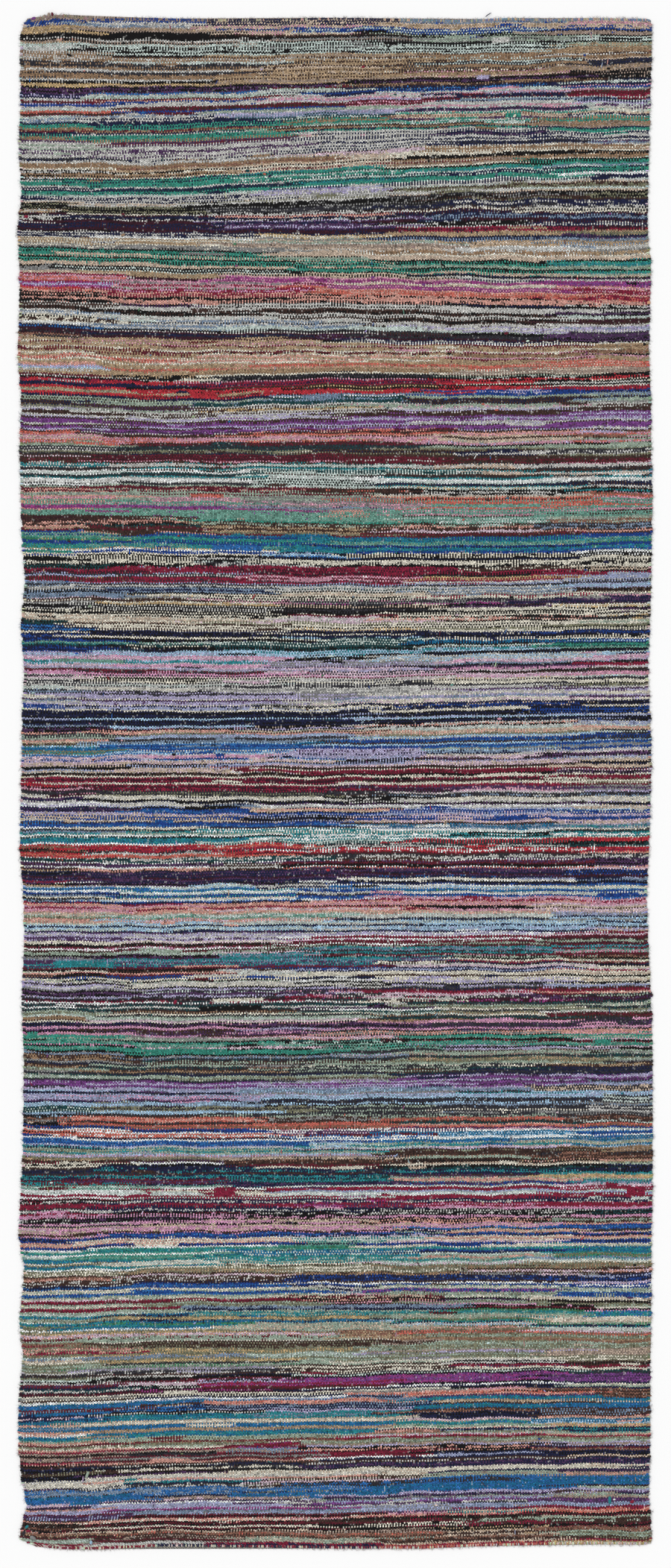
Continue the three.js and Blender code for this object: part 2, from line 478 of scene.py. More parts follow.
bkpl7 pk3 cobe3 pkbl4 bepk4 umco2 pkbe3
bkpm6 pk3 bkbe5 pkbe5 umpk4 rybu3
umbe5 pk3 umpk3 pkbe3 bkbl4 nvsa4
bksm7 pkbe5 buco3 besm4 bunv1
umsa7 smpk2 rybu5 coum3 bepk2
1662 1657 1655 1653 1653
rynv6 smbe6 rynv3
rynv4 crsm6 rynv4
nvli3 plte3 mite4 senv5
rynv3 crsm7 bl2 rynv3
rynv4 smbe5 rynv5
1677 1671 1670 1668 1667
whmi3 emte4 whli2 mise3 pcte5 crol5 pcte4 whmi2
whmi2 emte6 wh2 emse6 te2 crmi6 tebu2 cr2
emgr6 pcmi7 tecr3 mite4 sate4 crum3
crmi3 teem3 rynv5 mi2 sasm5 tese4 mibl4
crsa4 pcte9 olgr4 stte4 micr4
1705 1700 1697 1694 1692
olcr6 um2 rusm4 umpl7
olcm6 um2 blwh3 umpl6 nv3
olcr9 brum3 nvry10
olbr6 um2 blbe2 umgy5 nvry8 um2 whnv2
olbr8 um2 blsm3 um2 nvla6 rynv5 libl4
1724 1720 1719 1721 1722
nvbu6 crsa5 rybu4 sagy3 crbl3
rybu7 crsa5 rybu4 sacr6
plnv11 stpl3 roum3 mabe4
ry2 sacr5 ppry5 saol4 crsa4
rywh5 sami5 rybu7 crbe4
1745 1742 1741 1740 1743
cima4 sacr6 cima4 sami6
cima5 saol5 cima5 sami4
bksm4 roum4 stnv8 sate3
bkpm3 saol5 pk2 bkma5 gr2
bkum3 olsa6 cr2 bkpk3
1765 1761 1760 1757 1757
tepc4 saol5 wh1 tepc4 olgr2 pcte4 whol2
pcnv5 olgo5 pcnv4 gr2 tepc4 whsk2
sate5 cote4 skst3 sabe13
tese4 sabe5 olgr3 tenv3 plsk3 olsm6
tebu8 crbe8 sagr3 nvte3 mipl6
1787 1783 1785 1782 1785
olgo4 blsm5 olma3 saol4 ruci4 olsm6 smci4 olbr3
olgo4 blsm4 sama6 cr1 umol10 olgo6
rucm12 tpum6 misa9
rucl4 olsa5 brru5 olsa11 tp2
bl2 rucl3 olsa5 brru6 saol7
1820 1814 1812 1809 1808
mist3 becr5 olsa12 plgy3 coum5 olsa3 mi2
stgy5 olgo6 copl3 sagr4 gyli5 copl4 umma3 pl2
misa6 olsa7 crsa5 umcr12
ligy3 olsa8 crpl3 bkpl5 cipm4 cr3
tpbe10 olcr7 umbk5 cima3 cr3
1853 1846 1842 1836 1836
bkpl4 mapm4 nvco3 pipl4 wima4
bkco5 maum2 blwh4 bkpl5 wimg6
nvbk4 mapk2 coli4 cimg6 maum6
comi3 bkpm2 ppmg10 bk2
pico4 pppm12 nv2
1872 1868 1864 1853 1854
crgy6 umco2 whsa4
crbk4 nvbk3 whla3
crgy7 stnv6 smcl3
wh2 nvbk4 rocl3 smcl6 pm2
crsa4 nvbk3 ruum12
1884 1878 1880 1870 1873
pcbu6 mast5 pcbu4 nvbl6
pcbu5 umbe3 bunv7 bkpl4
smcl2 nvst6 nvli4 test2
pcte5 cmbe3 um2 pcte6 umru5
pcte5 beum4 bupc5 umst3
1905 1897 1894 1891 1890
pcte5 smbe4
tepc7 becr5
test5 whbu6
nvbk8 blbe3
umst7 umwi2 smbe4
1914 1909 1905 1902 1903
pcst7 smru4 whcr3 pcte6 saol3 smcr3
pcbu5 cmtp5 pcte7 saol5
test4 saco7 pisa3 smru9
tebu5 sagr4 crsm2 nvst5 olsa3 blsm3
pcsk6 gosm4 nvte7 sabe3 sm1
1940 1931 1928 1924 1924
maru2 olcr5 smcr2 cima2 tp2 bkum4 tppm2 tpum3 cima3 sm1
maru3 olsa5 crsm2 cima3 tp2 bkco4 ma2 gyum4 ma2 smtp3 umpl3
sacr5 mgma8 sttp6 maci8 wh3
cima3 olsa5 tpli4 bksm8 nvla7 umpl4
ci2 olsa6 litp5 nv3 maru4 nvbk6 beum3
1966 1964 1958 1955 1953
bkum4 nvbk5 umol5 bknv6
bknv3 umcr5 bkpm5
bknv5 cocr6 bk2
nvpm8
nvpm9
1986 1977 1971 1963 1962
crpl10 pmum2
crpl6 smbl3
crbe9 umcr4 blcr4
cr6 nvpm3 satp6
crbe6 nvpm5 tpsm5
1998 1986 1988 1978 1978
bust5 stum3 bupc10
tenv5 copl4 bust11 nv2
gyum4 bkpl4 olnv4 bupc9
buco7 bupc11
bupc12 umnv2
2016 2008 2009 1996 1992
blli4 pmco4 smgy3 lila5
tpbl4 pmnv2 whli3 lali6
lipl3 pmpl9
lipm4 pmnv3 gysa3 lapp4 plco4 last6
sacr4 lipm4 nvpm3 satp5 pmpp6 last5
2032 2023 2021 2020 2019
mapm2 pmla6 um2 smbe2 bkum5
mgpm3 stla4 mabk4 smcr4 bkma5
lagy7 pmro9 maum6
cipm4 bete3 smci3 bkum5
cima4 smcl5 bkma4 sabe4
2049 2044 2043 2035 2036
umru5 bksm3 rube4 umcm3
crbl2 maum2 bkbe4 rucl4 umtp6
crbk5 bkum4 tpum6 rucl2
saum4 cium4 bkcm5 beum6
umsa5 mabk5 ruum5 saol6
2063 2062 2060 2057 2058
maum2 sami4 cicr4 cr1
maum3 plmi3 nvci2 cr2
ruum3 sabe4 cinv3 crli2
ruum4 umbe4 cicl3 cr2
umol4 cima3 gool2 crgy3
2075 2073 2075 2072 2070
"""

# Where one zone's wefts may give way to the next one's: the nearest and the farthest
# place, in metres from the left selvedge. The two inner limits sometimes lie far off,
# where wefts from both sides overlap.
ZONE_SPANS = ((0.09, 0.27), (0.37, 0.63), (0.77, 0.99), (1.12, 1.29))
FAR_SPANS = {1: (0.60, 0.90), 2: (0.50, 0.80)}
FAR_SHARE = 0.3
LIMIT_PICKS = (2, 13)
LIMIT_SLIP = 0.024

# How far the left and the right selvedge stand outside (+) or inside (-) their straight
# lines, after the distance along the runner from its foot end, in millimetres.
SELVEDGES = (
    (-3, -45, 1), (20, 3, 2), (60, -5, 1), (95, -14, -3), (140, -3, -4), (225, 5, -1),
    (325, 5, -1), (425, -5, -1), (500, 3, 1), (620, -8, 2), (690, 5, 1), (790, 0, 4),
    (890, -5, 4), (1090, -7, 4), (1220, -2, 1), (1350, -8, -6), (1450, -6, -9),
    (1550, 2, -4), (1750, -2, 2), (1850, -3, -1), (1950, -8, -6), (2050, 0, -2),
    (2150, -10, 1), (2230, -3, 2), (2350, 0, 4), (2450, 3, 1), (2550, -2, 1),
    (2650, 7, -4), (2750, 3, -2), (2850, 3, 1), (2930, 7, -7), (3010, -2, -6),
    (3110, 5, -4), (3210, 0, -1), (3310, 2, 2), (3370, 0, 2), (3390, -8, 2),
    (3402, -18, -1),
)

# The two ends: distance across from the left side, then distance along, in millimetres.
FOOT_END = (
    (0, 2), (45, -3), (75, -3), (105, -4), (150, -3), (285, 3), (385, 2), (585, 0),
    (685, -2), (885, -2), (985, 3), (1080, 5), (1180, 7), (1280, 8), (1380, 7), (1398, 9),
)
HEAD_END = (
    (0, 3400), (18, 3403), (45, 3406), (75, 3409), (105, 3405), (150, 3399), (285, 3401),
    (385, 3398), (585, 3399), (685, 3402), (885, 3398), (985, 3396), (1080, 3401),
    (1180, 3398), (1280, 3401), (1380, 3399), (1396, 3399), (1402, 3394),
)

# The mesh has one row of faces for each pick. Its columns, across from the left: close
# together at the rounded edges and even between them.
EDGE_COLUMNS = (0.0, 0.003, 0.009, 0.020, 0.045)
INNER_START = 0.080
INNER_COLUMNS = 32
UNDER_COLUMNS = (0.003, 0.080, 0.330, 0.700, 1.040, 1.320, 1.397)
EDGE_HEIGHTS = (0.0013, 0.0025, 0.0029)
FACE_HEIGHT = 0.0029
UNDERSIDE = 0.00005
END_HEIGHT, END_RISE = 0.0013, 0.0008
END_ROWS = 45

# How the picks waver: heights of the waves and their sizes across and along.
WANDERS = ((0.0017, 0.22, 0.12), (0.0005, 0.08, 0.05))
BULGES = ((0.0011, 1.0, 0.034), (0.0008, 1.0, 0.011))
SWELL = (0.00012, 0.09, 0.012)
WAVE_SIZES = (0.6, 1.8)
PICK_LIMITS = (0.0007, 0.0036)
SLANT_REACH = 0.045
SLANT_BLUR = 0.07
BESIDE_SHARE = 0.5
TINY = 1e-9

# A weft is written as one number, with its yarn, its partner and whether they mingle.
CODE_STEP = 64
NARROW = 2
STRAY_PICKS = 0.24

# How two yarns share a stripe. Of five manners two give dotted rows, two a zigzag and
# one uneven runs. Each span is a count of picks or repeats, its end not included.
MANNERS, DOTTED, ZIGZAG = 5, 2, 4
REPEATS, LONG_RUN, SHORT_RUN = (1, 3), (2, 5), (1, 4)

# The values on the mesh that the weave's material reads.
YARN_ROWS = ((-2, "yarn_two_up"), (-1, "yarn_up"), (0, "yarn_here"), (1, "yarn_down"))
NO_CHANGE = 9.0

# Knots and short yarn ends that lie on the face: the photograph's column and row, the
# length and width in millimetres, the turn from straight across in degrees, the yarn.
KNOTS = (
    (93, 74, 12, 5, -20, "black"), (818, 2012, 17, 7, 90, "teal"), (824, 2011, 5, 4, 0, "white"),
    (848, 2014, 9, 7, 30, "crimson"), (679, 447, 9, 6, 10, "maroon"), (666, 550, 8, 4, 0, "coral"),
    (833, 592, 9, 4, 0, "coral"), (686, 801, 8, 5, 0, "black"), (211, 940, 9, 5, 0, "black"),
    (813, 754, 12, 6, 0, "navy"), (670, 964, 10, 5, 0, "rose"), (740, 638, 8, 4, 0, "teal"),
    (598, 535, 7, 4, 0, "blue"), (585, 560, 7, 4, 0, "purple"), (648, 542, 7, 4, 0, "coral"),
    (638, 612, 14, 2, 60, "white"), (570, 622, 8, 4, 0, "maroon"), (690, 155, 8, 5, 50, "cream"),
    (192, 151, 8, 5, 0, "blue"), (443, 1395, 10, 6, 0, "wine"), (672, 1636, 8, 5, 0, "black"),
    (668, 1667, 8, 5, 0, "blue"), (845, 1740, 14, 4, 0, "plum"), (433, 1712, 11, 5, 0, "royal"),
    (435, 1300, 11, 5, 0, "royal"), (200, 1600, 9, 5, 0, "crimson"), (575, 216, 6, 5, 90, "black"),
    (35, 290, 9, 7, 0, "crimson"), (165, 287, 7, 5, 0, "maroon"), (165, 315, 9, 5, 20, "brown"),
    (155, 345, 10, 5, 0, "umber"), (315, 327, 6, 5, 0, "green"), (500, 372, 8, 5, 0, "purple"),
    (568, 382, 8, 5, 0, "purple"), (655, 20, 16, 2, 35, "navy"), (668, 2072, 9, 2, 80, "black"),
    (332, 229, 9, 6, 0, "pine"), (362, 236, 8, 5, 40, "navy"), (815, 83, 13, 2, 80, "salmon"),
    (67, 88, 14, 2, 88, "beige"), (73, 76, 12, 2, 95, "cream"), (38, 2053, 10, 6, 0, "crimson"),
    (117, 1978, 15, 6, 70, "sage"), (122, 2069, 8, 6, 80, "sky"), (594, 356, 12, 4, -35, "black"),
    (65, 20, 10, 6, 80, "taupe"), (70, 19, 8, 5, 105, "maroon"), (59, 22, 8, 5, 60, "taupe"),
    (38, 29, 12, 8, 55, "royal"), (45, 25, 10, 6, 20, "purple"), (440, 1167, 8, 6, 0, "red"),
    (235, 1344, 10, 7, 60, "crimson"), (804, 964, 9, 6, 0, "royal"), (682, 1499, 18, 2, 70, "salmon"),
    (44, 2063, 14, 8, -30, "grey"), (32, 2056, 10, 7, 60, "coal"), (36, 2048, 9, 6, 40, "teal"),
    (816, 92, 8, 5, 0, "black"), (428, 1094, 8, 5, 0, "black"), (233, 1012, 8, 5, 0, "black"),
)

# Lengths of another yarn laid into a stripe: the photograph's first and last column,
# first and last row, and the yarn.
LAID_IN = (
    (187, 198, 150, 153, "royal"), (640, 656, 100, 106, "lilac"), (660, 681, 50, 57, "pale"),
    (679, 700, 151, 158, "emerald"), (34, 127, 418, 420, "white"), (34, 127, 431, 433, "white"),
    (255, 291, 528, 534, "red"), (205, 232, 517, 521, "navy"), (272, 295, 406, 410, "salmon"),
    (255, 297, 662, 667, "coral"), (283, 349, 731, 738, "blue"), (67, 163, 884, 889, "sea"),
    (288, 300, 1011, 1015, "royal"), (281, 335, 1084, 1088, "royal"),
    (70, 149, 1290, 1296, "teal"), (231, 320, 1294, 1297, "salmon"),
    (329, 367, 1308, 1312, "royal"), (285, 352, 1339, 1343, "cream"),
    (265, 349, 1349, 1355, "black"), (34, 47, 1384, 1391, "emerald"),
    (795, 818, 1394, 1400, "emerald"), (129, 300, 1407, 1411, "emerald"),
    (300, 361, 1515, 1519, "royal"), (668, 692, 1557, 1561, "cream"),
    (444, 486, 1564, 1569, "cream"), (812, 826, 1586, 1592, "crimson"),
    (838, 862, 1592, 1604, "crimson"), (288, 315, 1592, 1606, "crimson"),
)
CHOSEN_SLIP = (-0.004, 0.002)

# Others lie in by chance: how many, their length, how many picks away their yarn shows,
# how many picks they take, and how much their ends slip from pick to pick.
CHANCE_LENGTHS = 650
CHANCE_LENGTH = (0.010, 0.10)
CHANCE_FROM = (-5, -4, -3, 3, 4, 5)
CHANCE_PICKS = (1, 4)
CHANCE_SLIP = (-0.012, 0.004)
FREE_OF_ENDS = (6, 8)

# Yarn ends and knots on the face. Stray ends lie along the runner and stray knots
# across it: their turn in degrees, middle and spread, and their length and width.
END_LEVEL, END_ARCH, END_BEND, END_THICK = 0.0032, 0.0007, 0.18, 0.0013
END_POINTS = 5
STRAY_REACH = (0.68, 1.68)
STRAY_ENDS, END_TURN, END_LONG, END_WIDE = 170, (90, 22), (0.004, 0.014), 0.0020
STRAY_KNOTS, KNOT_TURN, KNOT_LONG, KNOT_WIDE = 90, (0, 20), (0.004, 0.008), (0.003, 0.0048)

# The two selvedges and the two ends: the mesh's column or row, and the way outward.
SIDES = ((0, -1), (-1, 1))
ENDS = ((0, 1), (-1, -1))

# Hairs round the cloth, at the selvedges and at the ends: height of the root and length.
# Then their slope, how much the tip rises or sinks, and where the bend is. None grows
# from the corners.
HAIRS, HAIR_THICK = 1700, 0.00034
SIDE_HAIR = ((0.0008, 0.0028), (0.0015, 0.0065))
END_HAIR = ((0.0008, 0.0026), (0.0015, 0.0060))
CORNER_PICKS, CORNER = 4, 0.02
HAIR_SLOPE, HAIR_TIP, HAIR_ROOT = 0.7, (-0.0006, 0.0006), 0.001
HAIR_BEND = (0.6, 0.4, 0.0003)
HAIR_PALE, HAIR_GREY, HAIR_TINT = (0.35, 0.30), (0.25, 0.5), (1.05, 0.95, 0.9)

# How a weft turns round the outermost warp, and how the last wefts bend at the ends:
# the distance inward from the edge and the height, before and after the outermost point,
# how far that point stands out, and the yarn's width and thickness.
TURN = {
    "face": ((0.0060, 0.0029), (0.0022, 0.0033)), "back": ((0.0004, 0.0012), (0.0030, 0.0010)),
    "out": (-0.0004, 0.0010), "edge": 0.0024, "wide": (0.0012, 0.0021), "thick": 0.0009,
}
LOOP = {
    "face": ((0.0050, 0.0027), (0.0020, 0.0031)), "back": ((0.0006, 0.0012), (0.0030, 0.0010)),
    "out": (-0.0004, 0.0009), "edge": 0.0022, "wide": (0.0011, 0.0016), "thick": 0.0008,
}

# They stray a little. A turn takes up two picks or three, the corners have none, and
# the loops have the yarn of a pick near the end.
TURN_SLIP, TURN_START_SLIP, LOOP_SLIP = 0.0004, 0.0006, 0.0002
TURN_PICKS = (2, 2, 2, 3)
FIRST_TURN, FIRST_LOOP = 3, 4
LOOP_PICKS = (2, -3)

# How a loose length's shade differs from its yarn's, and how thin its tips are.
YARN_SHADE = (0.75, 1.2)
STRAND_TIP = 0.55
STRAND_SIDES, HAIR_SIDES = 6, 3
UP = np.array([0, 0, 1])

# How many picks a cap takes up in the flat layout.
CAP_PICKS = 3

# The weave's beads: how far they ride up and down, in picks, with sudden jumps between
# cells of one warp and of two.
RIDE, RIDE_MOST = (-0.65, 0.65), 0.98
JUMP = 1.8

# The sizes of the material's patterns, per warp and per pick, with a last number that
# only keeps one pattern apart from another. Patterns of cells have that number alone.
RIDE_PATTERN = (0.21, 0.33, 9.0)
JUMP_CELLS = ((1, 6.0), (2, 7.0))
PARTNER_PATTERN = (0.13, 5.7, 2.0)
OWN_CELLS = (4.0, 1.0)
STREAK_PATTERN = (0.22, 0.71, 1.7)
SLOW_PATTERN = (0.02, 0.02, 4.0)
FIBRE_PATTERN = (3.0, 9.0, 0.0)
BEAD_CELLS, THREE_CELLS, HIDDEN_BEAD_CELLS, FLECK_CELLS = 3.0, 2.0, 8.0, 5.0

# How much of a weft is its own yarn, from weft to weft, and how much less if it mingles.
OWN_SHARE, MINGLED_LESS = (0.57, 0.88), -0.08

# How the weave's tone varies: along each weft, from bead to bead, in threes, where a bead
# is hidden (painted shade), slowly over the cloth, and from a bead's rim to its top
# (painted shade at the rim, painted light on the top).
STREAKS = (0.45, 1.55)
EACH_BEAD = (0.72, 1.28)
THREE_BEADS = (0.86, 1.14)
# A few hidden beads at random are darkened to half: painted shade.
HIDDEN_BEAD_SHADE, HIDDEN_BEAD_SHARE = (1.0, 0.5), 0.08
SLOW_SHADE = (0.85, 1.15)
# Painted shade at a bead's rim and painted light on its top, by the bead's roundness.
BEAD_RIM_SHADE = (0.12, 1.38)
BEAD_POWER = 0.5
STRAND_SHADE = (0.7, 1.3)
FLECK_ABOVE, FLECK_STRENGTH = 0.955, 0.28

# The surfaces: detail and roughness of the finer noises, strength and depth of the
# relief, and how matt and downy the yarn is.
FINE, RAGGED, SMOOTH = (2.0, 0.7), (3.0, 0.7), (1.0, 0.5)
FIBRE_SCALE, SLUB_SCALE = 1400.0, 300.0
FIBRE_HEIGHT = 0.18
WEAVE_RELIEF, WEAVE_ROUGH = (0.55, 0.0012), (0.86, 0.98)
STRAND_RELIEF, STRAND_ROUGH = (0.5, 0.0006), (0.85, 0.98)
SPECULAR, SHEEN, SHEEN_ROUGH = 0.2, 0.12, 0.5

# The nodes' limits: a ramp holds 32 colours.
RAMP_STEPS, RAMP_MOST = 255, 32
MIX_KINDS = ("FLOAT", "VECTOR", "RGBA")

# The studio.
FLOOR_HALF, FLOOR_HEIGHT = 6.0, -0.0006
FLOOR_CORNERS = ((-1, -1), (1, -1), (1, 1), (-1, 1))
FLOOR_COLOUR, FLOOR_ROUGH, FLOOR_SPECULAR = (0.93, 0.93, 0.93, 1), 0.9, 0.1
SKY_STRENGTH, KEY_STRENGTH, KEY_SOFTNESS = 0.78, 1.05, 50
KEY_TURN = (-28, -24, 0)
CAMERA_HEIGHT, CAMERA_REACH = 5.0, 50
WHITE = (1, 1, 1, 1)

# The solid's box is centred on the origin, and the outline isn't symmetric.
SHIFT = (0.0015, -0.0025, 0.0)

# The yarns' colours against the chart's: contrast about a middle grey and a small tint
# of the whole cloth. The last is the fibre that shows as flecks.
GREY_SHARES = (0.30, 0.59, 0.11)
CONTRAST = 1.20
MIDDLE = 0.48
TINT = (0.94, 0.96, 0.985)
DARKEST = 0.03
FLECK = "c9c4ba"

SEED = 11

draw = np.random.default_rng(SEED)


def linear(code):
    """A hex colour as the eye reads it, in the renderer's linear values."""
    parts = [int(code[i:i + 2], 16) / 255 for i in (0, 2, 4)]
    grey = sum(share * part for share, part in zip(GREY_SHARES, parts))
    tone = MIDDLE + (grey - MIDDLE) * CONTRAST
    parts = [max((tone + (part - grey)) * tint, DARKEST) for part, tint in zip(parts, TINT)]
    return [
        part / 12.92 if part <= 0.04045 else ((part + 0.055) / 1.055) ** 2.4 for part in parts
    ]


def photo_across(column):
    """Where a column of the photograph lies on the cloth."""
    return (column - PHOTO_MIDDLE[0]) * PIXEL


def photo_along(row):
    """Where a row of the photograph lies on the cloth."""
    return (PHOTO_MIDDLE[1] - row) * PIXEL


def from_left(column):
    """A column of the photograph as a distance from the left selvedge."""
    return photo_across(column) + WIDTH / 2


def smooth_step(share):
    """A soft rise from 0 to 1."""
    share = np.clip(share, 0, 1)
    return share * share * (3 - 2 * share)


def waver(across, along, wide, long, waves=14):
    """A soft uneven height over the cloth, about -1 to 1, for waves of that size."""
    total = 0
    for _ in range(waves):
        pitch_x, pitch_y = wide * draw.uniform(*WAVE_SIZES), long * draw.uniform(*WAVE_SIZES)
        turn = draw.choice([-1, 1])
        phase = draw.uniform(0, 2 * math.pi)
        total = total + np.sin(
            2 * math.pi * (across / pitch_x + turn * along / pitch_y) + phase
        )
    return total / math.sqrt(waves)


def wavers(across, along, kinds):
    """The sum of such heights, each kind with its height and its sizes."""
    return sum(height * waver(across, along, wide, long) for height, wide, long in kinds)


def read_stripes():
    """The chart as its lines (along, at the five columns) and, per band and zone, the
    stripes as (first yarn, second yarn, picks)."""
    lines, bands = [], []
    for text in STRIPES.strip().splitlines():
        if text[0].isdigit():
            lines.append([photo_along(int(row)) for row in text.split()])
            bands.append([])
            continue
        zone = []
        for stripe in text.split():
            names = stripe.rstrip("0123456789")
            first, second = YARN_NUMBER[names[:2]], YARN_NUMBER[names[-2:]]
            zone.append((first, second, int(stripe[len(names):])))
        bands[-1].append(zone)
    return np.array(lines), bands[:-1]


def edge_shift(side, along):
    """How far that selvedge stands outside its straight line."""
    table = np.array(SELVEDGES) / MM
    return np.interp(along, table[:, 0], table[:, side])


def end_along(table, across):
    """How far along an end lies, at every distance across."""
    points = np.array(table) / MM
    return np.interp(across, points[:, 0], points[:, 1]) - LENGTH / 2


def bell(distance, reach):
    """A weight that fades with distance."""
    return np.exp(-0.5 * (distance / reach) ** 2)


def settle(lines):
    """Every pick's depth from the head end, and how far it slants from it at the five
    columns. The picks keep nearly one spacing and follow the chart's lines."""
    base = -lines.mean(axis=1)
    slants = -lines - base[:, None]
    depth = np.linspace(-LENGTH / 2, LENGTH / 2, round(LENGTH / PICK) + 1)
    weight = bell(depth[:, None] - base[None, :], SLANT_REACH) + TINY
    return depth, weight @ slants / weight.sum(axis=1)[:, None]


def rows_at(across, depth, softened):
    """The height along of every pick at every distance across."""
    columns = np.array([from_left(column) for column in LINE_COLUMNS])
    spread = np.array([np.interp(across, columns, row) for row in softened])
    kernel = bell(across[:, None] - across[None, :], SLANT_BLUR)
    spread = spread @ (kernel / kernel.sum(axis=1)[:, None]).T
    along = -depth[:, None] - spread
    grid_across, grid_depth = np.meshgrid(across, depth)
    along = along + wavers(grid_across, grid_depth, WANDERS)
    head, foot = end_along(HEAD_END, across), end_along(FOOT_END, across)
    rows = np.arange(len(depth))
    near_head = 1 - smooth_step(rows / END_ROWS)
    near_foot = 1 - smooth_step((rows[-1] - rows) / END_ROWS)
    along = along + near_head[:, None] * (head - along[0])[None, :]
    along = along + near_foot[:, None] * (foot - along[-1])[None, :]
    gaps = np.clip(-np.diff(along, axis=0), *PICK_LIMITS)
    gaps = gaps * (head - foot)[None, :] / gaps.sum(axis=0)[None, :]
    return np.concatenate([head[None, :], head[None, :] - np.cumsum(gaps, axis=0)])


def coded(yarn, partner, mingled=False):
    """One weft as a number: its yarn, the yarn that it gives way to here and there, and
    whether it does so often."""
    return (int(mingled) * CODE_STEP + yarn) * CODE_STEP + partner


def mixed(first, second, beside, picks):
    """The wefts of one stripe. Two yarns make dotted rows, a zigzag or uneven runs."""
    if first == second:
        row = [coded(first, beside)] * picks
        for pick in range(1, picks - 1):
            if draw.uniform() < STRAY_PICKS:
                row[pick] = coded(beside, first)
        return row
    one, two = [coded(first, second, True)], [coded(second, first, True)]
    row = []
    while len(row) < picks:
        manner = draw.integers(0, MANNERS)
        if manner < DOTTED:
            row += (one * 2 + two) * int(draw.integers(*REPEATS))
        elif manner < ZIGZAG:
            row += (one * 2 + two * 2) * int(draw.integers(*REPEATS))
        else:
            row += one * int(draw.integers(*LONG_RUN)) + two * int(draw.integers(*SHORT_RUN))
    return row[:picks]


def band_picks(stripes, total):
    """The picks of one zone in one band: narrow stripes keep their count, the others
    share the rest."""
    fixed = sum(picks for _, _, picks in stripes if picks <= NARROW)
    loose = sum(picks for _, _, picks in stripes if picks > NARROW)
    scale = max(total - fixed, 0) / loose if loose else 0
    row, ends = [], 0.0
    for place, (first, second, picks) in enumerate(stripes):
        ends += picks if picks <= NARROW else picks * scale
        beside = stripes[place - 1 if place else min(1, len(stripes) - 1)][0]
        row += mixed(first, second, beside, max(round(ends) - len(row), 0))
    last = row[-1] if row else coded(stripes[0][0], stripes[0][0])
    return (row + [last] * (total - len(row)))[:total]


def weft_chart(lines, bands, top, along):
    """The yarn of every pick in every zone."""
    count = len(along) - 1
    chart = np.zeros((len(LINE_COLUMNS), count), dtype=int)
    for zone, photo_column in enumerate(LINE_COLUMNS):
        column = int(np.argmin(abs(top - from_left(photo_column))))
        fell = -along[:, column]
        starts = [round(float(np.interp(-y, fell, np.arange(count + 1)))) for y in lines[:, zone]]
        starts[0], starts[-1] = 0, count
        for start, end, band in zip(starts, starts[1:], bands):
            chart[zone, start:end] = band_picks(band[zone], end - start)
    return chart


def zone_limits(count):
    """Where each pick changes from one zone's wefts to the next one's."""
    cuts = np.zeros((count, len(ZONE_SPANS)))
    for side, span in enumerate(ZONE_SPANS):
        start = 0
        while start < count:
            end = start + int(draw.integers(*LIMIT_PICKS))
            middle = draw.uniform(*span)
            if draw.uniform() < FAR_SHARE and side in FAR_SPANS:
                middle = draw.uniform(*FAR_SPANS[side])
            cuts[start:end, side] = middle
            start = end
        cuts[:, side] += np.repeat(draw.normal(0, LIMIT_SLIP, count // 2 + 1), 2)[:count]
    return np.maximum.accumulate(cuts, axis=1)


def chance_lengths(chart, cuts):
    """Short lengths of a neighbouring stripe's yarn: pick, start and end in metres from
    the left, and yarn."""
    nearest, farthest = FREE_OF_ENDS[0], len(cuts) - FREE_OF_ENDS[1]
    for _ in range(CHANCE_LENGTHS):
        first = int(draw.integers(nearest, farthest))
        middle, length = draw.uniform(0, WIDTH), draw.uniform(*CHANCE_LENGTH)
        other = first + int(draw.choice(CHANCE_FROM))
        zone = int((cuts[first] < middle).sum())
        for pick in range(first, first + int(draw.integers(*CHANCE_PICKS))):
            slip = draw.uniform(*CHANCE_SLIP)
            yield pick, middle - length / 2 + slip, middle + length / 2 - slip, chart[zone, other]


def chosen_lengths(top, along):
    """The laid-in lengths of the table, in the same way."""
    places = np.arange(len(along))
    for first, last, upper, lower, yarn in LAID_IN:
        start, end = from_left(first), from_left(last)
        column = int(np.argmin(abs(top - (start + end) / 2)))
        fell = -along[:, column]
        rows = (int(np.interp(-photo_along(row), fell, places)) for row in (upper, lower))
        code = coded(YARN_NUMBER[yarn], YARN_NUMBER[yarn])
        for pick in range(*rows):
            slip = draw.uniform(*CHOSEN_SLIP)
            yield pick, max(start + slip, 0.0), end - slip, code


def pick_runs(chart, top, along):
    """For every pick: where its yarns change, in metres from the left, and its yarns."""
    cuts = zone_limits(chart.shape[1])
    runs = [([-1.0, *places], list(yarns)) for places, yarns in zip(cuts, chart.T)]
    lengths = [*chance_lengths(chart, cuts), *chosen_lengths(top, along)]
    for pick, start, end, yarn in lengths:
        places, yarns = runs[pick]
        after = yarns[int(np.searchsorted(places, end)) - 1]
        left = [run for run in zip(places, yarns) if run[0] < start]
        right = [run for run in zip(places, yarns) if run[0] > end]
        runs[pick] = tuple(zip(*left, (start, yarn), (end, after), *right))
    return [(np.array(places[1:]), np.array(yarns)) for places, yarns in runs]


def face_yarns(runs, edges):
    """For every face of a strip of columns: the yarns left and right of the place where
    its pick changes yarn, and that place in warps from the left."""
    result = np.zeros((len(runs), len(edges) - 1, 3))
    for pick, (places, yarns) in enumerate(runs):
        left = np.searchsorted(places, edges[:-1], side="right")
        right = np.searchsorted(places, edges[1:], side="left")
        result[pick, :, 0] = yarns[left]
        result[pick, :, 1] = yarns[right]
        result[pick, :, 2] = np.append(places, NO_CHANGE)[left] / WARP
    return result


def columns_of_face():
    """The mesh's columns on the face, in metres from the left selvedge."""
    inner = np.linspace(INNER_START, WIDTH - INNER_START, INNER_COLUMNS)
    left = np.array(EDGE_COLUMNS)
    return np.concatenate([left, inner, WIDTH - left[::-1]])


